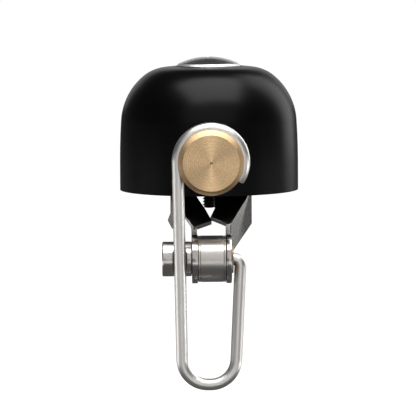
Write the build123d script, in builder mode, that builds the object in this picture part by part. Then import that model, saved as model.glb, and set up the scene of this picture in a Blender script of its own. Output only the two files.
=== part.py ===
from build123d import *
from math import cos, radians, sin
import os

# Compact handlebar bell: a domed resonator on a central post, a two-arm stamped
# bracket that sits on a handlebar, and a sprung wire striker with a turned hammer.
# Millimetres. +X runs along the handlebar, +Y away from the rider's side where the
# striker is, +Z up. The origin is on the handlebar's axis, under the dome's centre.

# ---- driving dimensions -------------------------------------------------------
BAR_RADIUS = 15.9          # 31.8 mm handlebar
RIM_Z = 20.4               # height of the dome's rim above the handlebar's axis

DOME_RIM_RADIUS = 18.35
DOME_WALL = 1.8
DOME_TOP = RIM_Z + 25.75
CROWN_RADIUS, CROWN_TURN = 80.0, 6.65      # radius and turn, in degrees, of each arc
SHOULDER_RADIUS, SHOULDER_TURN = 8.0, 33.35
FLANK_RADIUS, FLANK_TURN = 12.9, 46.3
WAIST_RADIUS, WAIST_TURN = 135.0, 3.6
RIM_FILLET = 0.5
DOME_HOLE_RADIUS = 3.3
SEAT_RADIUS = 6.9          # spot face that the cap sits in
SEAT_Z = RIM_Z + 25.15

CAP_RADIUS = 6.6
CAP_EDGE_Z = RIM_Z + 25.25
CAP_EDGE = 0.5             # straight part of the cap's edge
CAP_BEVEL_IN, CAP_BEVEL_UP = 0.6, 0.7
CAP_RELIEF = 1.0           # how far the underside is turned back from the edge
CAP_TOP = RIM_Z + 27.4
CAP_BOSS_RADIUS = 2.5
CAP_BOSS_LENGTH = 4.1
HEX_SOCKET = 2.5           # across flats
HEX_DEPTH = 0.9
WASHER_STEP = 0.5          # thickness of the rubber washer under the cap
WASHER_RADIUS = 5.4

STUD_RADIUS = 1.42         # 4-40
STUD_PITCH = 0.635
STUD_END_Z = RIM_Z - 3.8
STUD_TOP_Z = RIM_Z + 25.3
THREAD_DEPTH = 0.39
THREAD_CREST = 0.12        # flat on top of each thread
THREAD_TURNS = 11
THREAD_RUNOUT = 0.3
NUT_FLATS, NUT_HEIGHT = 5.5, 1.8
LOCK_WASHER, LOCK_WASHER_RADIUS = 0.5, 3.0

POST_TOP_Z = RIM_Z + 22.9
POST_RADIUS = 4.0
POST_FOOT, POST_FOOT_HEIGHT = 5.0, 1.2
POST_CHAMFER = 0.3
BOSS_RECESS = 1.6          # depth of the recess that takes the cap's boss
DOME_WASHER_TOP = RIM_Z + 23.7
FIT = 0.1                  # radial clearance on a screw or a boss

SHEET = 1.1                # thickness of the stamped arms
LEFT_CROWN_Z = RIM_Z + 1.0
RIGHT_CROWN_Z = LEFT_CROWN_Z + SHEET
POST_BASE_Z = RIGHT_CROWN_Z + SHEET
CROWN_REACH = 5.0          # how far each crown runs past the stud
CROWN_FRONT, CROWN_BACK = -6.0, 8.0
CROWN_CORNER = 2.0
LEFT_WALL = 7.9            # outer faces of the arms' walls, from the middle
RIGHT_WALL = 8.48
WALL_BACK = 10.5
WALL_BOTTOM = RIM_Z - 15.0
STRAP_PIN_RADIUS = 1.6
STRAP_PIN_Y, STRAP_PIN_Z = 7.6, RIM_Z - 3.6

PIVOT_Y, PIVOT_Z = -20.0, RIM_Z - 12.35
EAR_INNER = 2.86
EAR_OUTER = EAR_INNER + SHEET
EAR_RADIUS = 4.95
TOE_START_Y, TOE_END_Y = -16.0, -8.3       # where the right arm's plate toes out
NECK_FRONT = (TOE_START_Y, PIVOT_Z + 2.8)
PLATE_TOP, PLATE_LOW = RIM_Z - 6.5, RIM_Z - 12.0
FOOT_Y = -9.0              # front face of the left arm's foot
FOLD_TILT = 40.0           # slope of the front flanges, in degrees
FOLD_Y, FOLD_Z = -16.2, RIM_Z - 5.95       # lowest point of the flanges' slope
# Corners of the flanges on that slope: x across the bell, y up the slope.
LEFT_FLANGE = [(-3.55, -0.5), (0.17, 1.3), (-1.15, 4.74), (-2.67, 8.0), (-3.6, 9.9),
               (-7.6, 9.9), (-7.35, 7.5)]
RIGHT_FLANGE = [(3.55, 0.3), (-0.13, 2.4), (0.85, 5.0), (0.75, 8.0), (1.6, 9.9),
                (7.6, 9.9), (7.35, 7.5)]
FLANGE_CORNER = 0.15

BARREL_RADIUS = 4.68
BARREL_HALF = 2.4
BARREL_CHAMFER = 0.12
CAVITY_RADIUS = 3.85
END_CAP = 0.38
END_CAP_CHAMFER = 0.1
SLEEVE_RADIUS = 1.9
SLEEVE_HALF = 3.96
BUSH_RADIUS = 2.6
BUSH_CLEARANCE = 0.05
END_PLAY = 0.05
THRUST_RADIUS, THRUST = 2.9, 0.3
SPRING_RADIUS, SPRING_WIRE, SPRING_PITCH = 2.85, 0.28, 0.75
SPRING_LENGTH = 4 * SPRING_PITCH
COLLAR_RADIUS = 3.5
COLLAR_IN, COLLAR_OUT = -4.06, -9.95
COLLAR_CHAMFER = 0.15
COLLAR_FLOOR = 0.85        # thickness left at the collar's closed end
GRUB_X, GRUB_RADIUS, GRUB_LENGTH = -7.3, 1.0, 1.9
GRUB_HEX, GRUB_HEX_DEPTH = 0.9, 0.8

WIRE_RADIUS = 1.2
LEVER_LEAN = 4.5           # the lever leans away from the dome, in degrees
LEVER_Y = -23.6            # the lever's plane at the height of the pivot
HAMMER_X, HAMMER_V = -0.2, 20.0            # centre, from the pivot, along the lever
WRAP_RADIUS = 6.6
WRAP_START = -36.0
LEG_SLOPE = 1.0            # the long leg runs in towards the bottom, in degrees
LOOP_V = -25.3             # lowest point of the wire's centre line
LOOP_RADIUS = 5.2
SHORT_LEG_BOTTOM, SHORT_LEG_TOP = 4.55, 5.8
BEND_RADIUS = 1.55

HAMMER_RADIUS = 6.6
HAMMER_FACE_RADIUS = 5.65
HAMMER_FRONT = 2.9
HAMMER_NOSE = 5.35
HAMMER_RIM_CHAMFER = 1.0
NOSE_STEP, NOSE_CHAMFER, NOSE_FILLET = 0.4, 2.0, 1.5
DIMPLE_RADIUS, DIMPLE_DEPTH, DIMPLE_TAPER = 0.28, 0.25, 35.0

os.makedirs("parts", exist_ok=True)

# The lever's plane: x across the bell, y up along the wire, z out of the front.
lean = radians(LEVER_LEAN)
LEVER = Plane(
    origin=(0, LEVER_Y, PIVOT_Z),
    x_dir=(1, 0, 0),
    z_dir=(0, -cos(lean), -sin(lean)),
)


def across(x):
    """A plane square to the pivot's axis, with its own origin on that axis."""
    return Plane(origin=(x, PIVOT_Y, PIVOT_Z), x_dir=(0, 1, 0), z_dir=(1, 0, 0))


def finish(piece, label):
    """Names a piece and writes it to its own file."""
    piece.label = label
    export_step(piece, f"parts/{label}.step")


# ---- dome and the stack that holds it -----------------------------------------
def dome_outline(inset):
    """Adds the dome's curve, from its top to its rim, moved in by inset."""
    crown = JernArc((0, DOME_TOP - inset), (1, 0), CROWN_RADIUS - inset, -CROWN_TURN)
    shoulder = JernArc(crown @ 1, crown % 1, SHOULDER_RADIUS - inset, -SHOULDER_TURN)
    flank = JernArc(shoulder @ 1, shoulder % 1, FLANK_RADIUS - inset, -FLANK_TURN)
    waist = JernArc(flank @ 1, flank % 1, WAIST_RADIUS - inset, -WAIST_TURN)
    Line(waist @ 1, (DOME_RIM_RADIUS - inset, RIM_Z))


with BuildPart() as dome:
    with BuildSketch(Plane.XZ):
        with BuildLine():
            dome_outline(0)
            dome_outline(DOME_WALL)
            Line((DOME_RIM_RADIUS, RIM_Z), (DOME_RIM_RADIUS - DOME_WALL, RIM_Z))
            Line((0, DOME_TOP), (0, DOME_TOP - DOME_WALL))
        make_face()
    revolve(axis=Axis.Z)
    fillet(dome.edges().filter_by(GeomType.CIRCLE).group_by(Axis.Z)[0], RIM_FILLET)
    with BuildSketch(Plane.XY.offset(SEAT_Z)):
        Circle(SEAT_RADIUS)
    extrude(amount=DOME_WALL, mode=Mode.SUBTRACT)
    with BuildSketch(Plane.XY.offset(SEAT_Z)):
        Circle(DOME_HOLE_RADIUS)
    extrude(amount=-2 * DOME_WALL, mode=Mode.SUBTRACT)
finish(dome.part, "dome")

with BuildPart() as cap:
    with BuildSketch(Plane.XZ):
        with BuildLine():
            edge_top = CAP_EDGE_Z + CAP_EDGE
            bevel_end = (CAP_RADIUS - CAP_BEVEL_IN, edge_top + CAP_BEVEL_UP)
            under = SEAT_Z + WASHER_STEP
            Polyline(
                (0, CAP_TOP), (0, under - CAP_BOSS_LENGTH),
                (CAP_BOSS_RADIUS, under - CAP_BOSS_LENGTH), (CAP_BOSS_RADIUS, under),
                (CAP_RADIUS - CAP_RELIEF, under), (CAP_RADIUS - CAP_RELIEF, CAP_EDGE_Z),
                (CAP_RADIUS, CAP_EDGE_Z), (CAP_RADIUS, edge_top), bevel_end,
            )
            TangentArc((0, CAP_TOP), bevel_end, tangent=(1, 0))
        make_face()
    revolve(axis=Axis.Z)
    with BuildSketch(Plane.XY.offset(CAP_TOP)):
        RegularPolygon(HEX_SOCKET / 2, 6, major_radius=False, rotation=30)
    extrude(amount=-HEX_DEPTH, mode=Mode.SUBTRACT)
    with BuildSketch(Plane.XY.offset(under - CAP_BOSS_LENGTH)):
        Circle(STUD_RADIUS)
    extrude(amount=STUD_TOP_Z - under + CAP_BOSS_LENGTH + FIT, mode=Mode.SUBTRACT)
finish(cap.part, "cap")


def ring(base_z, height, outer, inner):
    """Makes a flat ring on the dome's axis."""
    with BuildPart() as piece:
        with BuildSketch(Plane.XY.offset(base_z)):
            Circle(outer)
            Circle(inner, mode=Mode.SUBTRACT)
        extrude(amount=height)
    return piece.part


finish(ring(SEAT_Z, WASHER_STEP, WASHER_RADIUS, DOME_HOLE_RADIUS), "cap_washer")
finish(ring(POST_TOP_Z, SEAT_Z + WASHER_STEP - POST_TOP_Z, DOME_HOLE_RADIUS - 0.03,
            CAP_BOSS_RADIUS), "dome_bush")
finish(ring(POST_TOP_Z, DOME_WASHER_TOP - POST_TOP_Z, WASHER_RADIUS, DOME_HOLE_RADIUS),
       "dome_washer")

with BuildPart() as post:
    with BuildSketch(Plane.XY.offset(POST_BASE_Z)):
        Circle(POST_RADIUS)
    extrude(amount=POST_TOP_Z - POST_BASE_Z)
    with BuildSketch(Plane.XY.offset(POST_BASE_Z)):
        Circle(POST_FOOT)
    extrude(amount=POST_FOOT_HEIGHT)
    chamfer(post.faces().sort_by(Axis.Z)[-1].outer_wire().edges(), POST_CHAMFER)
    with Locations((0, 0, POST_TOP_Z)):
        CounterBoreHole(STUD_RADIUS + FIT, CAP_BOSS_RADIUS + FIT, BOSS_RECESS)
finish(post.part, "post")

with BuildPart() as center_stud:
    with BuildSketch(Plane.XZ):
        with BuildLine():
            root = STUD_RADIUS - THREAD_DEPTH
            thread = [(0, STUD_END_Z), (root, STUD_END_Z)]
            for turn in range(THREAD_TURNS):
                crest = STUD_END_Z + (turn + 0.5) * STUD_PITCH
                thread += [(STUD_RADIUS, crest - THREAD_CREST / 2),
                           (STUD_RADIUS, crest + THREAD_CREST / 2),
                           (root, crest + STUD_PITCH / 2)]
            Polyline(*thread, (STUD_RADIUS, thread[-1][1] + THREAD_RUNOUT),
                     (STUD_RADIUS, STUD_TOP_Z), (0, STUD_TOP_Z), (0, STUD_END_Z))
        make_face()
    revolve(axis=Axis.Z)
finish(center_stud.part, "center_stud")

finish(ring(LEFT_CROWN_Z - LOCK_WASHER, LOCK_WASHER, LOCK_WASHER_RADIUS, STUD_RADIUS + FIT),
       "lock_washer")

with BuildPart() as stud_nut:
    with BuildSketch(Plane.XY.offset(LEFT_CROWN_Z - LOCK_WASHER - NUT_HEIGHT)):
        RegularPolygon(NUT_FLATS / 2, 6, major_radius=False)
        Circle(STUD_RADIUS, mode=Mode.SUBTRACT)
    extrude(amount=NUT_HEIGHT)
finish(stud_nut.part, "stud_nut")

# ---- bracket arms --------------------------------------------------------------
# Both arms share the slope of their front flanges, the saddle arc on the handlebar,
# the ears that hold the pivot, and a crown with a hole for the stud.
tilt = radians(FOLD_TILT)
FLANGE = Plane(
    origin=(0, FOLD_Y, FOLD_Z),
    x_dir=(1, 0, 0),
    z_dir=(0, -sin(tilt), cos(tilt)),
)


def fold_point(y):
    """The point of the flanges' slope, seen from the side, at depth y."""
    return (y, FOLD_Z + (y - FOLD_Y) * sin(tilt) / cos(tilt))


def rear_outline(wall_front):
    """Side-view corners of a wall and its crown, from the front top to the front foot."""
    return [
        fold_point(wall_front), (CROWN_FRONT, RIM_Z + 1.6), (CROWN_FRONT, POST_BASE_Z),
        (CROWN_BACK, POST_BASE_Z), (WALL_BACK, RIM_Z - 1.5), (WALL_BACK, WALL_BOTTOM),
        (wall_front, WALL_BOTTOM),
    ]


def drill_arm():
    """Cuts the saddle arc, the bush hole, the stud hole and the strap-pin hole."""
    with BuildSketch(Plane.YZ) as cuts:
        Circle(BAR_RADIUS)
        with Locations((PIVOT_Y, PIVOT_Z)):
            Circle(BUSH_RADIUS)
        with Locations((STRAP_PIN_Y, STRAP_PIN_Z)):
            Circle(STRAP_PIN_RADIUS)
    extrude(cuts.sketch, amount=2 * RIGHT_WALL, both=True, mode=Mode.SUBTRACT)
    with Locations((0, 0, POST_BASE_Z)):
        Hole(STUD_RADIUS + FIT, depth=4 * SHEET)


def flange(corners):
    """Adds the sloped front flange of one arm."""
    with BuildSketch(FLANGE) as blade:
        with BuildLine():
            FilletPolyline(*corners, radius=FLANGE_CORNER, close=True)
        make_face()
    extrude(blade.sketch, amount=-SHEET)


# Right arm: the ear, a plate that toes out, the wall and the crown.
with BuildPart() as right_arm:
    with BuildSketch(Plane.XY.offset(RIM_Z - 20)):
        with BuildLine():
            outer = [(EAR_OUTER, -26), (EAR_OUTER, TOE_START_Y),
                     (RIGHT_WALL, TOE_END_Y), (RIGHT_WALL, WALL_BACK)]
            inner = [(x - SHEET, y) for x, y in reversed(outer)]
            Polyline(*outer, *inner, close=True)
        make_face()
    extrude(amount=30)
    with BuildSketch(Plane.YZ):
        with BuildLine():
            Polyline(
                NECK_FRONT, fold_point(TOE_START_Y), *rear_outline(TOE_END_Y)[:-1],
                (TOE_END_Y + 0.8, WALL_BOTTOM), (TOE_END_Y + 0.8, PLATE_TOP),
                (TOE_END_Y, PLATE_TOP), (TOE_START_Y, PLATE_LOW), (PIVOT_Y, PIVOT_Z),
                close=True,
            )
        make_face()
        with Locations((PIVOT_Y, PIVOT_Z)):
            Circle(EAR_RADIUS)
    extrude(amount=2 * RIGHT_WALL, both=True, mode=Mode.INTERSECT)
    with BuildSketch(Plane.XY.offset(RIGHT_CROWN_Z)):
        with BuildLine():
            FilletPolyline(
                (RIGHT_WALL, CROWN_FRONT), (-CROWN_REACH, CROWN_FRONT),
                (-CROWN_REACH, CROWN_BACK), (RIGHT_WALL, CROWN_BACK), radius=CROWN_CORNER,
            )
            Line((RIGHT_WALL, CROWN_BACK), (RIGHT_WALL, CROWN_FRONT))
        make_face()
    extrude(amount=SHEET)
    flange(RIGHT_FLANGE)
    drill_arm()
finish(right_arm.part, "right_arm")

# Left arm: a strip bent from ear to crown, a wall, and a foot flared out at its front.
with BuildPart() as left_arm:
    with BuildSketch(Plane.XZ.offset(-WALL_BACK)):
        with BuildLine():
            ear_x, wall_x = -EAR_INNER - SHEET / 2, -LEFT_WALL + SHEET / 2
            FilletPolyline(
                (ear_x, RIM_Z - 20), (ear_x, RIM_Z - 5.35), (wall_x, RIM_Z - 1.3),
                (wall_x, LEFT_CROWN_Z + SHEET / 2), (CROWN_REACH, LEFT_CROWN_Z + SHEET / 2),
                radius=[2.4, 1.0, 0.8],
            )
        trace(line_width=SHEET)
    extrude(amount=WALL_BACK + 26)
    with BuildSketch(Plane.XY.offset(LEFT_CROWN_Z)):
        with Locations((-LEFT_WALL, FOOT_Y)):
            Rectangle(SHEET, WALL_BACK - FOOT_Y, align=(Align.MIN, Align.MIN))
    extrude(amount=-20)
    with BuildSketch(Plane.YZ):
        with BuildLine():
            Polyline(
                NECK_FRONT, fold_point(TOE_START_Y), *rear_outline(FOOT_Y),
                (FOOT_Y, RIM_Z - 5.6), (-12.4, RIM_Z - 6.3), (-15.1, PIVOT_Z),
                close=True,
            )
        make_face()
        with Locations((PIVOT_Y, PIVOT_Z)):
            Circle(EAR_RADIUS)
    extrude(amount=2 * RIGHT_WALL, both=True, mode=Mode.INTERSECT)
    with BuildSketch(Plane.XY.offset(LEFT_CROWN_Z)):
        with Locations((-LEFT_WALL + SHEET, FOOT_Y + 2)):
            Rectangle(LEFT_WALL, WALL_BACK - FOOT_Y, align=(Align.MIN, Align.MIN))
    extrude(amount=-20, mode=Mode.SUBTRACT)
    with BuildSketch(Plane.XZ.offset(-FOOT_Y)) as foot:
        with BuildLine():
            FilletPolyline(
                (-LEFT_WALL + SHEET, RIM_Z - 3.3), (-LEFT_WALL, RIM_Z - 3.6),
                (-LEFT_WALL - 0.8, RIM_Z - 5.6), (-LEFT_WALL, RIM_Z - 7.1),
                (-LEFT_WALL + SHEET, RIM_Z - 7.1), radius=0.3, close=True,
            )
        make_face()
    extrude(foot.sketch, amount=-SHEET)
    flange(LEFT_FLANGE)
    drill_arm()
finish(left_arm.part, "left_arm")

# ---- pivot ---------------------------------------------------------------------
with BuildPart() as barrel:
    with BuildSketch(across(-BARREL_HALF)):
        Circle(BARREL_RADIUS)
        Circle(CAVITY_RADIUS, mode=Mode.SUBTRACT)
    extrude(amount=2 * BARREL_HALF)
    chamfer(barrel.edges().filter_by(GeomType.CIRCLE).sort_by(SortBy.RADIUS)[-2:],
            BARREL_CHAMFER)
finish(barrel.part, "barrel")

for side, name in ((-1, "left"), (1, "right")):
    with BuildPart() as end_cap:
        with BuildSketch(across(side * BARREL_HALF)):
            Circle(BARREL_RADIUS)
        extrude(amount=side * END_CAP)
        chamfer(end_cap.edges().filter_by(GeomType.CIRCLE), END_CAP_CHAMFER)
        with BuildSketch(across(side * BARREL_HALF)):
            Circle(CAVITY_RADIUS)
        extrude(amount=-side * END_CAP)
        with BuildSketch(across(0)):
            Circle(BUSH_RADIUS)
        extrude(amount=side * EAR_INNER, mode=Mode.SUBTRACT)
    finish(end_cap.part, f"{name}_end_cap")

    with BuildPart() as bush:
        with BuildSketch(across(side * (BARREL_HALF - END_CAP))):
            Circle(BUSH_RADIUS)
            Circle(SLEEVE_RADIUS + BUSH_CLEARANCE, mode=Mode.SUBTRACT)
        extrude(amount=side * (EAR_OUTER - BARREL_HALF + END_CAP))
    finish(bush.part, f"{name}_bush")

with BuildPart() as torsion_spring:
    with BuildLine() as coil:
        Helix(SPRING_PITCH, SPRING_LENGTH, SPRING_RADIUS,
              center=(-SPRING_LENGTH / 2, PIVOT_Y, PIVOT_Z), direction=(1, 0, 0))
    with BuildSketch(Plane(origin=coil.line @ 0, z_dir=coil.line % 0)):
        Circle(SPRING_WIRE)
    sweep(is_frenet=True)
finish(torsion_spring.part, "torsion_spring")

with BuildPart() as pivot_sleeve:
    with BuildSketch(across(-SLEEVE_HALF)):
        Circle(SLEEVE_RADIUS)
        Circle(WIRE_RADIUS, mode=Mode.SUBTRACT)
    extrude(amount=2 * SLEEVE_HALF)
finish(pivot_sleeve.part, "pivot_sleeve")

with BuildPart() as thrust_washer:
    with BuildSketch(across(EAR_OUTER + END_PLAY)):
        Circle(THRUST_RADIUS)
        Circle(WIRE_RADIUS + FIT, mode=Mode.SUBTRACT)
    extrude(amount=THRUST)
finish(thrust_washer.part, "thrust_washer")

# ---- striker -------------------------------------------------------------------
# The long leg leaves the wrap round the hammer at a tangent and runs straight down.
slope = radians(LEG_SLOPE)
wrap_end = (HAMMER_X - WRAP_RADIUS * cos(slope), HAMMER_V - WRAP_RADIUS * sin(slope))


def long_leg_x(v):
    """The long leg's place across the bell at height v of the lever's plane."""
    return wrap_end[0] + (wrap_end[1] - v) * sin(slope) / cos(slope)


def short_leg_top():
    """Where the short leg's line meets the pivot's axis."""
    return Vector(SHORT_LEG_TOP, PIVOT_Y, PIVOT_Z)


with BuildPart() as striker_wire:
    with BuildLine() as route:
        with BuildLine(LEVER):
            CenterArc((HAMMER_X, HAMMER_V), WRAP_RADIUS, WRAP_START,
                      180 + LEG_SLOPE - WRAP_START)
        FilletPolyline(
            LEVER.from_local_coords((*wrap_end, 0)),
            LEVER.from_local_coords((long_leg_x(LOOP_V), LOOP_V, 0)),
            LEVER.from_local_coords((SHORT_LEG_BOTTOM, LOOP_V, 0)),
            short_leg_top(),
            (COLLAR_OUT + COLLAR_FLOOR + END_PLAY, PIVOT_Y, PIVOT_Z),
            radius=[LOOP_RADIUS, LOOP_RADIUS, BEND_RADIUS],
        )
    with BuildSketch(Plane(origin=route.line @ 0, z_dir=route.line % 0)):
        Circle(WIRE_RADIUS)
    sweep()
finish(striker_wire.part, "striker_wire")

with BuildPart() as hammer:
    groove = WIRE_RADIUS + END_PLAY
    # Each disc: where it starts along the hammer's axis, its length and its radius.
    discs = [
        (-groove, 2 * groove, WRAP_RADIUS - WIRE_RADIUS),
        (groove, HAMMER_FRONT - groove, HAMMER_RADIUS),
        (-HAMMER_NOSE, HAMMER_NOSE - groove, HAMMER_RADIUS - NOSE_STEP),
    ]
    for start, length, radius in discs:
        with BuildSketch(LEVER.offset(start)):
            with Locations((HAMMER_X, HAMMER_V)):
                Circle(radius)
        extrude(amount=length)
    along = Axis(LEVER.origin, LEVER.z_dir)
    round_edges = hammer.edges().filter_by(GeomType.CIRCLE).sort_by(along)
    chamfer(round_edges[-1], length=HAMMER_RIM_CHAMFER,
            length2=HAMMER_RADIUS - HAMMER_FACE_RADIUS)
    nose_edge = hammer.edges().filter_by(GeomType.CIRCLE).sort_by(along)[0]
    chamfer(nose_edge, length=NOSE_CHAMFER)
    nose_edge = hammer.edges().filter_by(GeomType.CIRCLE).sort_by(along)[0]
    fillet(nose_edge, NOSE_FILLET)
    with BuildSketch(LEVER.offset(HAMMER_FRONT)):
        with Locations((HAMMER_X, HAMMER_V)):
            Circle(DIMPLE_RADIUS)
    extrude(amount=-DIMPLE_DEPTH, taper=DIMPLE_TAPER, mode=Mode.SUBTRACT)
finish(hammer.part, "hammer")

with BuildPart() as collar:
    with BuildSketch(across(COLLAR_OUT)):
        Circle(COLLAR_RADIUS)
    extrude(amount=COLLAR_IN - COLLAR_OUT)
    chamfer(collar.edges().filter_by(GeomType.CIRCLE), COLLAR_CHAMFER)
    with BuildSketch(across(COLLAR_IN)):
        Circle(WIRE_RADIUS)
    extrude(amount=COLLAR_OUT + COLLAR_FLOOR - COLLAR_IN, mode=Mode.SUBTRACT)
    with BuildSketch(Plane(LEVER.from_local_coords((long_leg_x(0), 0, 0)), x_dir=(1, 0, 0),
                           z_dir=LEVER.y_dir.rotate(Axis(LEVER.origin, LEVER.z_dir), LEG_SLOPE))):
        Circle(WIRE_RADIUS + 3 * FIT)
    extrude(amount=2 * COLLAR_RADIUS, both=True, mode=Mode.SUBTRACT)
    with BuildSketch(Plane(origin=(GRUB_X, PIVOT_Y, PIVOT_Z), z_dir=(0, 1, 0))):
        Circle(GRUB_RADIUS)
    extrude(amount=COLLAR_RADIUS, mode=Mode.SUBTRACT)
finish(collar.part, "collar")

with BuildPart() as collar_screw:
    with BuildSketch(Plane(origin=(GRUB_X, PIVOT_Y + WIRE_RADIUS, PIVOT_Z), z_dir=(0, 1, 0))):
        Circle(GRUB_RADIUS)
    extrude(amount=GRUB_LENGTH)
    with BuildSketch(Plane(collar_screw.faces().sort_by(Axis.Y)[-1])):
        RegularPolygon(GRUB_HEX / 2, 6, major_radius=False)
    extrude(amount=-GRUB_HEX_DEPTH, mode=Mode.SUBTRACT)
finish(collar_screw.part, "collar_screw")
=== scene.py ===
"""Looks for a compact handlebar bell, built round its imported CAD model.

Metres. The origin is on the handlebar's axis under the dome's centre, +X runs along the
handlebar, the striker is on the -Y side and +Z is up.
"""

from math import ceil, cos, pi, radians, sin, sqrt, tan

import bmesh
import bpy
from mathutils import Matrix, Quaternion, Vector


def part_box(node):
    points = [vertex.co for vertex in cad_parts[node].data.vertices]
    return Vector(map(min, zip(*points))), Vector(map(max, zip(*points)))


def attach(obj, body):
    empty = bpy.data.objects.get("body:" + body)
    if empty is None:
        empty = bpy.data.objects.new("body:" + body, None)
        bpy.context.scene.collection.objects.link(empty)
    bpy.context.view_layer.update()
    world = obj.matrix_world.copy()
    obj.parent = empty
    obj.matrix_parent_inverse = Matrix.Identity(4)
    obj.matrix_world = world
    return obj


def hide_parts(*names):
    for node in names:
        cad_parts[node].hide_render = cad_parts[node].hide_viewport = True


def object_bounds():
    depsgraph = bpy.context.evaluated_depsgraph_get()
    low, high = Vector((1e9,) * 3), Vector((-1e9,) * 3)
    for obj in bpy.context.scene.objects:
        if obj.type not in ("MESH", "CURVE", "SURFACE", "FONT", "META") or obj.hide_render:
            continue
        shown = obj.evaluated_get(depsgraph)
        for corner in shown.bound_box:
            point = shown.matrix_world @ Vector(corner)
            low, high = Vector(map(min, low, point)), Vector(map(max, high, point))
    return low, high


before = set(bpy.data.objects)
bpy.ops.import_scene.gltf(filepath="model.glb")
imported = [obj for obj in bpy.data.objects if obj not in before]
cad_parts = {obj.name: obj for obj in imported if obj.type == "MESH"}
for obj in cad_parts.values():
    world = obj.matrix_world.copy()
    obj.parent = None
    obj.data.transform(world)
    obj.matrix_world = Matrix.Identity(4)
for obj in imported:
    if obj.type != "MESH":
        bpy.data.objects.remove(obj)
cad_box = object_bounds()

MM = 0.001
X_AXIS, Y_AXIS, Z_AXIS = Vector((1, 0, 0)), Vector((0, 1, 0)), Vector((0, 0, 1))

# ---- places and sizes, from the frame ------------------------------------------
dome_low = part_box("dome")[0]
cap_low, cap_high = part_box("cap")
post_low, post_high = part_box("post")
stud_low, stud_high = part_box("center_stud")
nut_low, nut_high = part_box("stud_nut")
barrel_low, barrel_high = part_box("barrel")

RIM_Z = dome_low.z
PIVOT = (barrel_low + barrel_high) / 2

# ---- sizes that a box doesn't give ----------------------------------------------
DOME_RIM_RADIUS = 18.35 * MM
DOME_WALL = 1.8 * MM
DOME_TOP = RIM_Z + 25.75 * MM
DOME_ARCS = (      # radius and turn, in degrees
    (80.0 * MM, 6.65), (8.0 * MM, 33.35), (12.9 * MM, 46.3), (135.0 * MM, 3.6),
)
DOME_HOLE_RADIUS = 3.3 * MM
SEAT_RADIUS = 6.9 * MM
SEAT_Z = RIM_Z + 25.15 * MM

CAP_UNDERCUT, CAP_RIM = 0.18 * MM, 0.12 * MM      # lower chamfer and straight part of the edge
CAP_BEVEL_IN, CAP_BEVEL_UP = 0.4 * MM, 0.4 * MM
CAP_LIFT = 0.1 * MM               # of the cap's edge above the spot face
CAP_LIP = 1.0 * MM                # outside the recess for the washer
CAP_SATIN_START, CAP_SATIN_END = 6.1 * MM, 6.2 * MM      # where the bevel's duller finish begins
CAP_BOSS_RADIUS = 2.5 * MM
WASHER_STEP = 0.5 * MM
HEX_SOCKET = 2.5 * MM             # across the flats
HEX_DEPTH = 0.9 * MM
HEX_MOUTH_IN, HEX_MOUTH_DOWN = 0.06 * MM, 0.08 * MM      # chamfer at the socket's mouth
HEX_FLOOR_ROUND = 0.05 * MM
HEX_FLOOR_SHARE = 0.97            # of the socket's width, at its floor
HEX_BLEND = 0.72                  # of HEX_SOCKET: the radius where the top is round again

CLEARANCE = 0.1 * MM              # between a bore and what is in it
POST_FOOT, POST_FOOT_CHAMFER = 1.2 * MM, 0.3 * MM
POST_SHANK_RADIUS = 4.0 * MM
POST_COUNTERBORE = 1.6 * MM

STUD_PITCH = 0.635 * MM
THREAD_LENGTH = 11 * STUD_PITCH
THREAD_DEPTH = 0.39 * MM
THREAD_FLANK = 1.15               # over 1, it leaves a narrow flat at the root
STUD_END_CHAMFER = 0.15 * MM
STUD_END_RADIUS = 1.6             # thread depths inside the stud's radius
PLAIN_START = 0.3 * MM            # from the thread's end to the plain shank

NUT_CHAMFER = 0.25 * MM
NUT_FACE = 0.97                   # of the flats: the circle on the nut's faces

LEVER_LEAN = radians(4.5)
LEVER_Y = -23.6 * MM
WIRE_RADIUS = 1.2 * MM
WRAP_RADIUS = 6.6 * MM
WRAP_START = radians(-36.0)
LEG_SLOPE = radians(1.0)
HAMMER_X, HAMMER_V = -0.2 * MM, 20.0 * MM
WRAP_STEP = radians(3.5)
LOOP_V = -25.3 * MM
LOOP_RADIUS = 5.2 * MM
SHORT_LEG_BOTTOM, SHORT_LEG_TOP = 4.55 * MM, 5.8 * MM
BEND_RADIUS = 1.55 * MM
WIRE_END_X = -9.05 * MM

HAMMER_RADIUS = 6.6 * MM
HAMMER_FACE_RADIUS = 5.65 * MM
HAMMER_FRONT = 2.9 * MM
HAMMER_CHAMFER = 1.0 * MM         # along the axis, from the face to the full radius
HAMMER_NOSE = 5.35 * MM
HAMMER_NOSE_RADIUS = 2.6 * MM
HAMMER_REAR_STEP = 0.4 * MM
HAMMER_GROOVE_GAP = 0.05 * MM
CENTRE_MARK_DEPTH = 0.25 * MM
CENTRE_MARK_FLOOR, CENTRE_MARK_RADIUS = 0.1 * MM, 0.28 * MM
BRASS_SATIN_START, BRASS_SATIN_END = 5.6 * MM, 5.75 * MM      # round the hammer's face

CAVITY_RADIUS = 3.85 * MM
BARREL_CHAMFER = 0.12 * MM
BUSH_RADIUS, BUSH_BORE = 2.6 * MM, 1.95 * MM
END_CAP, END_CAP_CHAMFER = 0.38 * MM, 0.1 * MM

ROUND_STEPS = 192      # faces round a large turned piece
SMALL_STEPS = 96
STUD_STEPS = 64
FINE_EDGE = 0.03 * MM

# The lever's plane: x across the bell, y up along the wire, z out of the front.
LEVER = Matrix((
    (1, 0, 0, 0),
    (0, -sin(LEVER_LEAN), -cos(LEVER_LEAN), LEVER_Y),
    (0, cos(LEVER_LEAN), -sin(LEVER_LEAN), PIVOT.z),
    (0, 0, 0, 1),
))
ON_PIVOT = Matrix.Translation(PIVOT) @ Matrix.Rotation(pi / 2, 4, "Y")   # its z is +X


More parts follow.
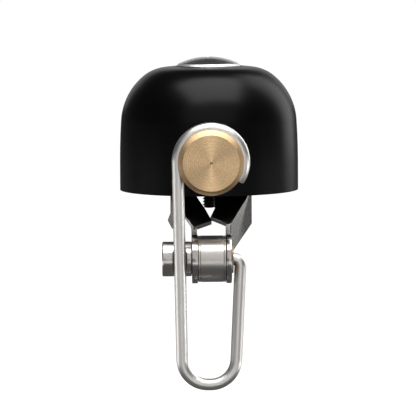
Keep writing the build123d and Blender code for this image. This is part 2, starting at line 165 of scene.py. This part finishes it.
# ---- meshes ---------------------------------------------------------------------
def add_piece(name, bm, place, material, body, slot, *nodes):
    """Makes a smooth object of bm, on a body, with its finish and the nodes it replaces."""
    bmesh.ops.recalc_face_normals(bm, faces=bm.faces)
    mesh = bpy.data.meshes.new(name)
    bm.to_mesh(mesh)
    bm.free()
    mesh.shade_smooth()
    mesh.materials.append(material)
    piece = bpy.data.objects.new(name, mesh)
    piece.matrix_world = place
    bpy.context.scene.collection.objects.link(piece)
    weighted = piece.modifiers.new("even_normals", "WEIGHTED_NORMAL")
    weighted.weight = 60
    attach(piece, body)
    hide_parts(*nodes)
    return piece


def arc(centre, start, end, steps):
    """Points of an arc round centre, from centre + start to centre + end."""
    return [centre + start.slerp(end, i / steps) * start.length for i in range(steps + 1)]


def rounded(corners, radius, steps=4):
    """The closed outline of corners with each sharp corner turned into a small arc."""
    points = []
    count = len(corners)
    for i, corner in enumerate(corners):
        here = Vector(corner)
        before, after = Vector(corners[i - 1]) - here, Vector(corners[(i + 1) % count]) - here
        if here.x < 1e-9 or before.angle(after) > radians(160):
            points.append(here)
            continue
        half = before.angle(after) / 2
        back = min(radius / tan(half), before.length * 0.45, after.length * 0.45)
        middle = (before.normalized() + after.normalized()).normalized()
        centre = here + middle * back / cos(half)
        start = here + before.normalized() * back - centre
        end = here + after.normalized() * back - centre
        points += arc(centre, start, end, steps)
    return points


def bridge(bm, low, high):
    """Makes the faces between two loops of vertices; a loop of one vertex makes a fan."""
    steps = max(len(low), len(high))
    for i in range(steps):
        j = (i + 1) % steps
        corners = [
            low[i % len(low)], low[j % len(low)], high[j % len(high)], high[i % len(high)],
        ]
        bm.faces.new(list(dict.fromkeys(corners)))


def rings(loops, steps):
    """A closed mesh of loops round z, each (radius, height), where None is a point on z.

    A radius or a height may be a function of the angle.
    """
    bm = bmesh.new()
    made = []
    for radius, height in loops:
        if radius is None:
            made.append([bm.verts.new((0, 0, height))])
            continue
        loop = []
        for i in range(steps):
            angle = 2 * pi * i / steps
            reach = radius(angle) if callable(radius) else radius
            lift = height(angle) if callable(height) else height
            loop.append(bm.verts.new((reach * cos(angle), reach * sin(angle), lift)))
        made.append(loop)
    pairs = list(zip(made, made[1:]))
    if len(made[0]) > 1 and len(made[-1]) > 1:
        pairs.append((made[-1], made[0]))
    for low, high in pairs:
        bridge(bm, low, high)
    return bm


def turned(corners, steps=SMALL_STEPS, edge=0.08 * MM):
    """A turned mesh of (radius, height) corners, with fine rounds on its edges."""
    return rings([(None if p[0] < 1e-9 else p[0], p[1]) for p in rounded(corners, edge)], steps)


def hexagon(across_flats):
    """The radius of a hexagon as a function of angle."""
    def radius(angle):
        return across_flats / 2 / cos((angle + pi / 6) % (pi / 3) - pi / 6)
    return radius


def tube(path, radius, sides=40, end_round=0.2 * MM):
    """A round rod along the points of path, with its two ends slightly rounded."""
    bm = bmesh.new()
    heading = (path[1] - path[0]).normalized()
    side = heading.orthogonal().normalized()
    stations = []
    ends = [(0.0, 0.0), (0.0, 0.8), (0.35, 0.94), (1.0, 1.0)]      # shares of end_round, radius
    last = (path[-1] - path[-2]).normalized()
    for along, share in ends:
        stations.append((path[0] + heading * end_round * along, heading, share))
    for before, here, after in zip(path, path[1:], path[2:]):
        stations.append((here, (after - before).normalized(), 1.0))
    for along, share in reversed(ends):
        stations.append((path[-1] - last * end_round * along, last, share))
    loops = []
    for centre, forward, share in stations:
        side = (side - forward * side.dot(forward)).normalized()
        other = forward.cross(side)
        if share == 0:
            loops.append([bm.verts.new(centre)])
            continue
        loops.append([
            bm.verts.new(centre + (side * cos(a) + other * sin(a)) * radius * share)
            for a in (2 * pi * i / sides for i in range(sides))
        ])
    for low, high in zip(loops, loops[1:]):
        bridge(bm, low, high)
    return bm


def bent(points, radii, step=radians(4)):
    """The points of a bent wire: straight runs joined by tangent arcs of these radii."""
    route = [points[0]]
    for before, corner, after, radius in zip(points, points[1:], points[2:], radii):
        back, on = (before - corner).normalized(), (after - corner).normalized()
        half = back.angle(on) / 2
        centre = corner + (back + on).normalized() * radius / sin(half)
        start = corner + back * radius / tan(half) - centre
        end = corner + on * radius / tan(half) - centre
        route += arc(centre, start, end, ceil((pi - 2 * half) / step))
    return route + [points[-1]]


# ---- materials ------------------------------------------------------------------
class Finish:
    """A Principled material and short ways to add its nodes."""

    def __init__(self, name, color, metallic, roughness, **sockets):
        self.material = bpy.data.materials.new(name)
        self.material.use_nodes = True
        self.tree = self.material.node_tree
        self.shader = self.tree.nodes["Principled BSDF"]
        self.place = self.add("ShaderNodeTexCoord").outputs["Object"]
        self.set("Metallic", metallic)
        self.set("Roughness", roughness)
        self.set("Base Color", (*color, 1))
        for socket, value in sockets.items():
            self.set(socket.replace("_", " "), value)
        self.color = color

    def set(self, socket, value):
        self.shader.inputs[socket].default_value = value

    def add(self, kind, **values):
        """Adds a node. A key is a setting, an input's name, or i and an input's number.

        A value is a constant, or a socket to link to the input.
        """
        node = self.tree.nodes.new(kind)
        for key, value in values.items():
            if hasattr(node, key) and key not in node.inputs:
                setattr(node, key, value)
                continue
            numbered = key[:1] == "i" and key[1:].isdigit()
            target = node.inputs[int(key[1:]) if numbered else key]
            if isinstance(value, bpy.types.NodeSocket):
                self.tree.links.new(value, target)
            else:
                target.default_value = value
        return node

    def link(self, output, socket):
        self.tree.links.new(output, self.shader.inputs[socket])

    def stretched(self, x, y, z):
        """The place in the object, stretched by a scale along each axis."""
        return self.add("ShaderNodeMapping", Vector=self.place, Scale=(x, y, z)).outputs[0]

    def noise(self, vector, scale, detail=3.0, roughness=0.55):
        return self.add(
            "ShaderNodeTexNoise", Vector=vector, Scale=scale, Detail=detail, Roughness=roughness
        ).outputs["Fac"]

    def lathe_marks(self, scale, centre=(0, 0, 0), axis="Z"):
        """Noise in fine circles about an axis through centre, as a lathe leaves it.

        Returns the noise and the distance from the axis.
        """
        offset = self.add("ShaderNodeVectorMath", operation="SUBTRACT", i0=self.place, i1=centre)
        split = self.add("ShaderNodeSeparateXYZ", Vector=offset.outputs[0])
        flat = [split.outputs[k] for k in "XYZ" if k != axis]
        squares = [self.math("MULTIPLY", side, side) for side in flat]
        reach = self.math("SQRT", self.math("ADD", *squares))
        along = self.math("ADD", reach, split.outputs[axis])
        marks = self.add(
            "ShaderNodeTexNoise", noise_dimensions="1D", W=along, Scale=scale, Detail=3.0
        )
        return marks.outputs["Fac"], reach

    def math(self, operation, *sockets):
        numbered = {f"i{number}": socket for number, socket in enumerate(sockets)}
        return self.add("ShaderNodeMath", operation=operation, **numbered).outputs[0]

    def between(self, amount, low, high, start=0.0, end=1.0):
        """Maps an amount from start to end, or from 0 to 1, to a range."""
        return self.add(
            "ShaderNodeMapRange", Value=amount, i1=start, i2=end, i3=low, i4=high
        ).outputs[0]

    def vary_color(self, amount, dark, light):
        """Shades the base colour between two multiples of itself."""
        mixed = self.add(
            "ShaderNodeMix", data_type="RGBA", i0=amount,
            i6=(*(c * dark for c in self.color), 1),
            i7=(*(min(1, c * light) for c in self.color), 1),
        )
        self.link(mixed.outputs[2], "Base Color")

    def vary_roughness(self, amount, low, high, start=0.0, end=1.0):
        self.link(self.between(amount, low, high, start, end), "Roughness")

    def bump(self, height, depth, strength=1.0):
        bumps = self.add("ShaderNodeBump", Height=height, Strength=strength, Distance=depth)
        self.link(bumps.outputs[0], "Normal")


TURNED_SCALE, TURNED_DEPTH = 6000, 0.0016 * MM      # of the lathe's circles


def dome_coat():
    """Satin black coat: a fine orange-peel skin with slight changes of gloss."""
    coat = Finish("dome_black", (0.001, 0.001, 0.0011), 0.0, 0.3, Specular_IOR_Level=0.13)
    broad = coat.noise(coat.place, 120)
    coat.vary_color(broad, 0.8, 1.25)
    coat.vary_roughness(broad, 0.27, 0.33)
    coat.bump(coat.noise(coat.place, 2600, detail=2.0), 0.0006 * MM)
    return coat.material


def turned_metal(name, color, low, high, centre=(0, 0, 0), axis="Z"):
    """Turned metal: circles about an axis in its colour and height, and a cloudy gloss."""
    metal = Finish(name, color, 1.0, (low + high) / 2, Anisotropic=0.4)
    marks, _ = metal.lathe_marks(TURNED_SCALE, centre, axis)
    metal.vary_color(marks, 0.86, 1.1)
    metal.vary_roughness(metal.noise(metal.place, 300), low, high)
    metal.bump(marks, TURNED_DEPTH)
    return metal.material


def brass_metal():
    """Turned brass: fine circles, a slight sparkle and a satin chamfer round the face."""
    metal = Finish("brass", (0.72, 0.50, 0.285), 1.0, 0.35, Anisotropic=0.85)
    marks, reach = metal.lathe_marks(9000)
    sparkle = metal.noise(metal.place, 4600, roughness=0.8)
    blend = metal.between(metal.math("MULTIPLY", marks, sparkle), 0.0, 1.0, 0.12, 0.40)
    metal.vary_color(blend, 0.66, 1.3)
    metal.bump(sparkle, 0.002 * MM)
    metal.vary_roughness(reach, 0.33, 0.5, BRASS_SATIN_START, BRASS_SATIN_END)
    return metal.material


def cap_metal():
    """The cap's steel: a bright turned top and a satin bevel that catches the light all round."""
    metal = Finish("polished_steel", (0.66, 0.66, 0.66), 1.0, 0.3, Anisotropic=0.3)
    marks, reach = metal.lathe_marks(TURNED_SCALE)
    metal.vary_color(marks, 0.86, 1.1)
    metal.bump(marks, TURNED_DEPTH)
    metal.vary_roughness(reach, 0.24, 0.42, CAP_SATIN_START, CAP_SATIN_END)
    return metal.material


def satin_metal(name, color, low, high, stretch=(1, 1, 1)):
    """Satin metal with a fine grain, longer along the axes where stretch is small."""
    metal = Finish(name, color, 1.0, (low + high) / 2)
    grain = metal.noise(metal.stretched(*stretch), 1800, detail=4.0, roughness=0.65)
    cloud = metal.noise(metal.place, 160)
    metal.vary_color(cloud, 0.9, 1.06)
    metal.vary_roughness(grain, low, high)
    metal.bump(grain, 0.0012 * MM)
    return metal.material


def soft_plastic(name, color, roughness):
    """Rubber or nylon with a slight moulded texture."""
    plastic = Finish(name, color, 0.0, roughness)
    grain = plastic.noise(plastic.place, 1500)
    plastic.vary_color(grain, 0.85, 1.15)
    plastic.vary_roughness(grain, roughness - 0.06, roughness + 0.06)
    plastic.bump(grain, 0.004 * MM)
    return plastic.material


PIVOT_CENTRE = tuple(PIVOT)
FINISHES = {
    "dome_black": dome_coat(),
    "polished_steel": cap_metal(),
    "rubber_black": soft_plastic("rubber_black", (0.012, 0.012, 0.012), 0.7),
    "nylon": soft_plastic("nylon", (0.55, 0.54, 0.50), 0.45),
    "post_aluminium": turned_metal("post_aluminium", (0.72, 0.72, 0.73), 0.28, 0.38),
    # Near-black steel: on the stud, which is plain steel in the shadow under the dome, this dark
    # colour is painted shade; the nut, collar screw and lock washer share the same colour
    "dark_steel": satin_metal("dark_steel", (0.075, 0.068, 0.062), 0.32, 0.48),
    "stamped_steel": satin_metal("stamped_steel", (0.50, 0.49, 0.47), 0.19, 0.27),
    "turned_steel": turned_metal(
        "turned_steel", (0.60, 0.575, 0.54), 0.24, 0.34, PIVOT_CENTRE, "X"
    ),
    "bush_bronze": turned_metal("bush_bronze", (0.34, 0.21, 0.12), 0.35, 0.45, PIVOT_CENTRE, "X"),
    "spring_steel": satin_metal("spring_steel", (0.42, 0.41, 0.40), 0.3, 0.4),
    "wire_steel": satin_metal(
        "wire_steel", (0.84, 0.82, 0.79), 0.34, 0.44, stretch=(1, 1, 0.12)
    ),
    "brass": brass_metal(),
}


def finish_cad_node(node, slot, bevel):
    """Gives a CAD node that stays in view its material, fine edge rounds and even normals."""
    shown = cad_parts[node]
    shown.data.materials.clear()
    shown.data.materials.append(FINISHES[slot])
    weld = shown.modifiers.new("weld", "WELD")
    weld.merge_threshold = 0.0005 * MM
    flat = shown.modifiers.new("join_flats", "DECIMATE")
    flat.decimate_type = "DISSOLVE"
    flat.angle_limit = radians(0.5)
    if bevel:
        edges = shown.modifiers.new("edge_rounds", "BEVEL")
        edges.width = bevel
        edges.segments = 3
        edges.limit_method = "ANGLE"
        edges.angle_limit = radians(35)
    shown.modifiers.new("even_normals", "WEIGHTED_NORMAL").weight = 60


# ---- dome, cap and the stack between them ----------------------------------------
def dome_curve(inset):
    """Points of the dome's outline from its top to its rim, moved in by inset."""
    step = 1.6      # degrees
    points = [(0.0, DOME_TOP - inset)]
    heading, centre = 0.0, Vector((0.0, DOME_TOP))
    for radius, turn in DOME_ARCS:
        centre = centre - Vector((sin(heading), cos(heading))) * radius
        count = ceil(turn / step)
        for i in range(1, count + 1):
            angle = heading + radians(turn) * i / count
            points.append(tuple(centre + Vector((sin(angle), cos(angle))) * (radius - inset)))
        heading += radians(turn)
        centre = centre + Vector((sin(heading), cos(heading))) * radius
    return points


def make_dome():
    """The resonator: a turned shell with a spot face for the cap and a rounded rim."""
    gap = 0.3 * MM      # from a corner to the outline's next point
    outer = [p for p in dome_curve(0) if p[0] > SEAT_RADIUS + gap]
    inner = [p for p in dome_curve(DOME_WALL) if p[0] > DOME_HOLE_RADIUS + gap]
    crown_z = DOME_TOP - SEAT_RADIUS ** 2 / 2 / DOME_ARCS[0][0]
    ceiling = DOME_TOP - DOME_WALL
    corners = (
        [(DOME_HOLE_RADIUS, SEAT_Z), (SEAT_RADIUS, SEAT_Z), (SEAT_RADIUS, crown_z)] + outer
        + [(DOME_RIM_RADIUS, RIM_Z), (DOME_RIM_RADIUS - DOME_WALL, RIM_Z)]
        + inner[::-1] + [(DOME_HOLE_RADIUS, ceiling)]
    )
    bm = turned(corners, ROUND_STEPS, edge=0.1 * MM)
    add_piece("dome_shell", bm, Matrix.Identity(4), FINISHES["dome_black"], "bell", "dome_black",
              "dome")


def make_cap():
    """The cap: a slightly crowned top with a hexagon socket, a polished bevel and a boss."""
    radius, top, edge_low = cap_high.x, cap_high.z, cap_low.z
    under = SEAT_Z + WASHER_STEP
    edge_z = SEAT_Z + CAP_LIFT
    edge_top = edge_z + CAP_UNDERCUT + CAP_RIM
    bevel_top = edge_top + CAP_BEVEL_UP
    flat = radius - CAP_BEVEL_IN
    edge_round, corner_round = 0.05 * MM, 0.06 * MM
    bore_top = stud_high.z + CLEARANCE
    crown = (flat ** 2 + (top - bevel_top) ** 2) / 2 / (top - bevel_top)
    socket = hexagon(HEX_SOCKET)

    def top_z(reach):
        return top - crown + sqrt(crown ** 2 - reach ** 2)

    floor = top - HEX_DEPTH
    loops = [(None, floor), (lambda a: socket(a) * HEX_FLOOR_SHARE, floor)]
    loops += [(socket, floor + HEX_FLOOR_ROUND), (socket, top - HEX_MOUTH_DOWN)]
    blended = HEX_SOCKET * HEX_BLEND
    blend_rings, crown_rings = 8, 12
    for i in range(blend_rings + 1):
        def reach(angle, share=i / blend_rings):
            hexed = socket(angle) + HEX_MOUTH_IN
            return hexed + (blended - hexed) * share
        loops.append((reach, lambda a, r=reach: top_z(r(a))))
    last_ring = flat - edge_round
    for i in range(1, crown_rings + 1):
        here = blended + (last_ring - blended) * i / crown_rings
        loops.append((here, top_z(here)))
    side = rounded([
        (flat, bevel_top), (radius, edge_top), (radius, edge_top - CAP_RIM),
        (radius - CAP_UNDERCUT, edge_z), (radius - CAP_LIP, edge_z),
        (radius - CAP_LIP, under), (CAP_BOSS_RADIUS, under), (CAP_BOSS_RADIUS, edge_low),
        (stud_high.x, edge_low), (stud_high.x, bore_top), (0, bore_top),
    ], corner_round)
    loops += [(None if p.x < 1e-9 else p.x, p.y) for p in side]
    bm = rings(loops, ROUND_STEPS)
    add_piece("cap_turned", bm, Matrix.Identity(4), FINISHES["polished_steel"], "bell",
              "polished_steel", "cap")


def make_post():
    """The post under the dome, with its foot and the counterbore that the cap's boss enters."""
    foot_z = post_low.z + POST_FOOT
    floor_z = post_high.z - POST_COUNTERBORE
    bore, counterbore = stud_high.x + CLEARANCE, CAP_BOSS_RADIUS + CLEARANCE
    corners = [
        (bore, post_low.z), (post_high.x, post_low.z),
        (post_high.x, foot_z - POST_FOOT_CHAMFER), (post_high.x - POST_FOOT_CHAMFER, foot_z),
        (POST_SHANK_RADIUS, foot_z), (POST_SHANK_RADIUS, post_high.z),
        (counterbore, post_high.z), (counterbore, floor_z), (bore, floor_z),
    ]
    add_piece("post_turned", turned(corners), Matrix.Identity(4), FINISHES["post_aluminium"],
              "bell", "post_aluminium", "post")


def make_stud():
    """The stud, with a real helical thread on the end that shows below the bracket."""
    radius = stud_high.x
    per_pitch = 10
    count = int(THREAD_LENGTH / STUD_PITCH * per_pitch)

    def threaded(height, runout):
        def reach(angle):
            phase = (height / STUD_PITCH - angle / (2 * pi)) % 1.0
            flank = min(1.0, abs(2 * phase - 1) * THREAD_FLANK)
            return radius - THREAD_DEPTH * runout * flank
        return reach

    end = stud_low.z
    loops = [(None, end), (radius - STUD_END_RADIUS * THREAD_DEPTH, end)]
    for i in range(count + 1):
        rise = STUD_END_CHAMFER + i * STUD_PITCH / per_pitch
        runout = min(1.0, (count - i) / per_pitch)
        loops.append((threaded(rise, runout), end + rise))
    loops += [
        (radius, end + THREAD_LENGTH + PLAIN_START), (radius, stud_high.z), (None, stud_high.z),
    ]
    # The stud's near-black steel colour is painted shade: the stud is plain steel in the dome's
    # shadow
    add_piece("stud_threaded", rings(loops, STUD_STEPS), Matrix.Identity(4),
              FINISHES["dark_steel"], "bell", "dark_steel", "center_stud")


def make_nut():
    """The hexagon nut under the bracket, with the usual chamfer on both faces."""
    flats = nut_high.y - nut_low.y
    body = hexagon(flats)
    corner, face = flats / sqrt(3), flats / 2 * NUT_FACE
    steps = 6
    bore = stud_high.x
    middle = (nut_low.z + nut_high.z) / 2
    half = (nut_high.z - nut_low.z) / 2

    def cut(depth):
        """The hexagon, cut by the cone of the chamfer this far in from the face."""
        limit = face + depth * (corner - face) / NUT_CHAMFER
        return lambda angle: min(body(angle), limit)

    loops = [(bore, middle - half), (cut(0), middle - half)]
    depths = [NUT_CHAMFER * i / steps for i in range(1, steps + 1)]
    loops += [(cut(d), middle - half + d) for d in depths]
    loops += [(cut(d), middle + half - d) for d in reversed(depths)]
    loops += [(cut(0), middle + half), (bore, middle + half)]
    add_piece("nut_chamfered", rings(loops, SMALL_STEPS), Matrix.Identity(4),
              FINISHES["dark_steel"], "bell", "dark_steel", "stud_nut")


# ---- pivot ------------------------------------------------------------------------
def make_pivot():
    """The barrel, its two end caps and bushes, the sleeve and the thrust washer."""
    steel = FINISHES["turned_steel"]
    radius = (barrel_high.z - barrel_low.z) / 2
    half = barrel_high.x
    cut = BARREL_CHAMFER
    corners = [
        (CAVITY_RADIUS, -half), (radius - cut, -half), (radius, cut - half), (radius, half - cut),
        (radius - cut, half), (CAVITY_RADIUS, half),
    ]
    add_piece("barrel_turned", turned(corners, ROUND_STEPS, FINE_EDGE), ON_PIVOT, steel, "bell",
              "turned_steel", "barrel")
    for side, name in ((-1, "left"), (1, "right")):
        place = ON_PIVOT @ Matrix.Rotation(0 if side > 0 else pi, 4, "X")
        outer = half + END_CAP
        cut = END_CAP_CHAMFER
        corners = [
            (BUSH_RADIUS, outer), (radius - cut, outer), (radius, outer - cut),
            (radius, half + cut), (radius - cut, half), (CAVITY_RADIUS, half),
            (CAVITY_RADIUS, half - END_CAP), (BUSH_RADIUS, half - END_CAP),
        ]
        add_piece(f"{name}_end_cap_turned", turned(corners, ROUND_STEPS, FINE_EDGE), place, steel,
                  "bell", "turned_steel", f"{name}_end_cap")
        low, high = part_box(f"{name}_bush")
        inner, outer = sorted((abs(low.x), abs(high.x)))
        corners = [
            (BUSH_BORE, inner), (BUSH_RADIUS, inner), (BUSH_RADIUS, outer), (BUSH_BORE, outer),
        ]
        add_piece(f"{name}_bush_turned", turned(corners), place, FINISHES["bush_bronze"], "bell",
                  "bush_bronze", f"{name}_bush")
    low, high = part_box("pivot_sleeve")
    sleeve = (high.z - low.z) / 2
    corners = [(WIRE_RADIUS, low.x), (sleeve, low.x), (sleeve, high.x), (WIRE_RADIUS, high.x)]
    add_piece("sleeve_turned", turned(corners), ON_PIVOT, steel, "striker", "turned_steel",
              "pivot_sleeve")
    low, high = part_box("thrust_washer")
    reach = (high.z - low.z) / 2
    bore = WIRE_RADIUS + CLEARANCE
    corners = [(bore, low.x), (reach, low.x), (reach, high.x), (bore, high.x)]
    add_piece("thrust_washer_turned", turned(corners), ON_PIVOT, FINISHES["bush_bronze"],
              "striker", "bush_bronze", "thrust_washer")


# ---- striker ------------------------------------------------------------------------
def make_wire():
    """One bent wire: the wrap round the hammer, the finger loop and the pivot pin."""
    slope = Vector((sin(LEG_SLOPE), -cos(LEG_SLOPE)))
    wrap_end = Vector(
        (HAMMER_X - WRAP_RADIUS * cos(LEG_SLOPE), HAMMER_V - WRAP_RADIUS * sin(LEG_SLOPE))
    )
    loop_corner = wrap_end + slope * (wrap_end.y - LOOP_V) / cos(LEG_SLOPE)
    sweep = pi + LEG_SLOPE - WRAP_START
    count = ceil(sweep / WRAP_STEP)
    wrap = [
        Vector((HAMMER_X + WRAP_RADIUS * cos(a), HAMMER_V + WRAP_RADIUS * sin(a), 0))
        for a in (WRAP_START + sweep * i / count for i in range(count))
    ]
    lower = bent(
        [LEVER @ Vector((*wrap_end, 0)), LEVER @ Vector((*loop_corner, 0)),
         LEVER @ Vector((SHORT_LEG_BOTTOM, LOOP_V, 0)), Vector((SHORT_LEG_TOP, PIVOT.y, PIVOT.z)),
         Vector((WIRE_END_X, PIVOT.y, PIVOT.z))],
        [LOOP_RADIUS, LOOP_RADIUS, BEND_RADIUS],
    )
    path = [LEVER @ p for p in wrap] + lower
    add_piece("wire_drawn", tube(path, WIRE_RADIUS), Matrix.Identity(4), FINISHES["wire_steel"],
              "striker", "wire_steel", "striker_wire")


def make_hammer():
    """The brass hammer: a faced front with a centre mark, a wire groove and a round nose."""
    groove = WIRE_RADIUS + HAMMER_GROOVE_GAP
    floor = WRAP_RADIUS - WIRE_RADIUS
    rear = HAMMER_RADIUS - HAMMER_REAR_STEP
    nose = HAMMER_NOSE_RADIUS
    mark = HAMMER_FRONT - CENTRE_MARK_DEPTH
    corners = [
        (0, mark), (CENTRE_MARK_FLOOR, mark),
        (CENTRE_MARK_RADIUS, HAMMER_FRONT), (HAMMER_FACE_RADIUS, HAMMER_FRONT),
        (HAMMER_RADIUS, HAMMER_FRONT - HAMMER_CHAMFER), (HAMMER_RADIUS, groove), (floor, groove),
        (floor, -groove), (rear, -groove), (rear, nose - HAMMER_NOSE),
    ]
    steps = 13
    for i in range(1, steps):
        angle = radians(90) * i / steps
        corners.append((rear - nose + nose * cos(angle), nose - HAMMER_NOSE - nose * sin(angle)))
    corners += [(rear - nose, -HAMMER_NOSE), (0, -HAMMER_NOSE)]
    place = LEVER @ Matrix.Translation((HAMMER_X, HAMMER_V, 0))
    bm = turned(corners, ROUND_STEPS, edge=0.12 * MM)
    add_piece("hammer_turned", bm, place, FINISHES["brass"], "striker", "brass", "hammer")


# ---- stage ----------------------------------------------------------------------------
def soft_light(name, place, width, height, radiance):
    """A white rectangular softbox at place, in metres from the rim's centre, facing the bell."""
    data = bpy.data.lights.new(name, "AREA")
    data.shape = "RECTANGLE"
    data.size, data.size_y = width, height
    data.energy = radiance * pi * width * height
    light = bpy.data.objects.new(name, data)
    away = Vector(place)
    light.location = Vector((0, 0, RIM_Z)) + away
    light.rotation_mode = "QUATERNION"
    light.rotation_quaternion = away.to_track_quat("Z", "Y")
    light.visible_camera = False
    bpy.context.scene.collection.objects.link(light)


def toward(azimuth, elevation, distance):
    """A place in a direction; azimuth 0 is in front of the bell and 90 on its right."""
    a, e = radians(azimuth), radians(elevation)
    return Vector((sin(a) * cos(e), -cos(a) * cos(e), sin(e))) * distance


def make_lights():
    """A strong softbox overhead, a tall panel behind on the right, a broad weak fill and a
    strip in front, low strips at both sides, and a card behind."""
    soft_light("top_softbox", (0.03, -0.17, 0.58), 0.66, 0.58, 5.6)
    soft_light("side_panel", toward(126, 28, 0.7), 0.38, 0.85, 2.2)
    soft_light("front_fill", toward(0, 22, 0.9), 1.2, 0.55, 0.75)
    soft_light("front_strip", toward(8, -5, 0.9), 0.22, 0.4, 0.8)
    soft_light("left_low", toward(-84, -15, 0.8), 0.5, 0.16, 2.0)
    soft_light("right_low", toward(84, -15, 0.8), 0.5, 0.16, 3.0)
    soft_light("back_card", toward(180, 15, 0.8), 0.9, 0.3, 0.6)


def make_world():
    """The room: dim walls with a bright band below the horizon light the bell, and the
    camera sees plain white."""
    world = bpy.data.worlds.new("studio")
    world.use_nodes = True
    bpy.context.scene.world = world
    tree = world.node_tree
    place = tree.nodes.new("ShaderNodeTexCoord")
    split = tree.nodes.new("ShaderNodeSeparateXYZ")
    ramp = tree.nodes.new("ShaderNodeMapRange")
    ramp.inputs["From Min"].default_value = -1
    ramp.inputs["From Max"].default_value = 1
    bands = tree.nodes.new("ShaderNodeValToRGB")
    stops = bands.color_ramp.elements
    walls = (      # height of the direction, from -1 to 1, and brightness
        (-1.0, 0.12), (-0.37, 0.12), (-0.32, 1.15), (-0.19, 1.15), (-0.13, 0.08), (1.0, 0.02),
    )
    while len(stops) < len(walls):
        stops.new(1.0)
    for stop, (height, level) in zip(stops, walls):
        stop.position = (height + 1) / 2
        stop.color = (level, level, level, 1)
    tree.links.new(place.outputs["Generated"], split.inputs[0])
    tree.links.new(split.outputs["Z"], ramp.inputs["Value"])
    tree.links.new(ramp.outputs[0], bands.inputs[0])
    room = tree.nodes["Background"]
    tree.links.new(bands.outputs[0], room.inputs["Color"])
    backdrop = tree.nodes.new("ShaderNodeBackground")
    backdrop.inputs["Color"].default_value = (1, 1, 1, 1)
    seen = tree.nodes.new("ShaderNodeLightPath")
    mix = tree.nodes.new("ShaderNodeMixShader")
    tree.links.new(seen.outputs["Is Camera Ray"], mix.inputs[0])
    tree.links.new(room.outputs[0], mix.inputs[1])
    tree.links.new(backdrop.outputs[0], mix.inputs[2])
    tree.links.new(mix.outputs[0], tree.nodes["World Output"].inputs["Surface"])


def make_floor():
    """A plain white floor well below the bell, seen from above only and not in reflections."""
    radius, drop = 6.0, 0.12
    bm = bmesh.new()
    bmesh.ops.create_circle(bm, cap_ends=True, radius=radius, segments=SMALL_STEPS)
    mesh = bpy.data.meshes.new("floor")
    bm.to_mesh(mesh)
    bm.free()
    floor = bpy.data.objects.new("floor", mesh)
    floor.location.z = cad_box[0].z - drop
    floor.visible_glossy = False
    finish = Finish("floor_white", (0.9, 0.9, 0.9), 0.0, 0.9)
    finish.vary_color(finish.noise(finish.place, 6), 0.98, 1.0)
    finish.set("Emission Color", (1, 1, 1, 1))
    finish.set("Emission Strength", 1.0)
    tree = finish.tree
    clear = tree.nodes.new("ShaderNodeBsdfTransparent")
    side = tree.nodes.new("ShaderNodeNewGeometry")
    mix = tree.nodes.new("ShaderNodeMixShader")
    tree.links.new(side.outputs["Backfacing"], mix.inputs[0])
    tree.links.new(finish.shader.outputs[0], mix.inputs[1])
    tree.links.new(clear.outputs[0], mix.inputs[2])
    tree.links.new(mix.outputs[0], tree.nodes["Material Output"].inputs["Surface"])
    mesh.materials.append(finish.material)
    bpy.context.scene.collection.objects.link(floor)


def make_camera():
    """A long lens a little to the left, five degrees above the rim."""
    distance, azimuth, elevation, roll = 0.700, radians(-1.3), radians(5.0), radians(-0.3)
    shift_left, shift_down = 0.24 * MM, 3.87 * MM
    rim = Vector((0, 0, RIM_Z))
    away = Vector((sin(azimuth) * cos(elevation), -cos(azimuth) * cos(elevation), sin(elevation)))
    data = bpy.data.cameras.new("camera")
    data.lens, data.sensor_width = 293.8, 36.0
    camera = bpy.data.objects.new("camera", data)
    camera.rotation_mode = "QUATERNION"
    turn = away.to_track_quat("Z", "Y") @ Quaternion(Z_AXIS, roll)
    right, up = turn @ X_AXIS, turn @ Y_AXIS
    camera.rotation_quaternion = turn
    camera.location = rim + away * distance - right * shift_left - up * shift_down
    bpy.context.scene.collection.objects.link(camera)
    bpy.context.scene.camera = camera


make_dome()
make_cap()
make_post()
make_stud()
make_nut()
make_pivot()
make_wire()
make_hammer()
for node, slot, bevel in (
    ("left_arm", "stamped_steel", 0.2 * MM), ("right_arm", "stamped_steel", 0.2 * MM),
    ("collar", "turned_steel", 0.05 * MM), ("collar_screw", "dark_steel", 0.04 * MM),
    ("torsion_spring", "spring_steel", 0), ("lock_washer", "dark_steel", 0.04 * MM),
    ("cap_washer", "rubber_black", 0.04 * MM), ("dome_washer", "rubber_black", 0.04 * MM),
    ("dome_bush", "nylon", 0.02 * MM),
):
    finish_cad_node(node, slot, bevel)

make_lights()
make_world()
make_floor()
make_camera()
bpy.context.scene.view_settings.view_transform = "Standard"
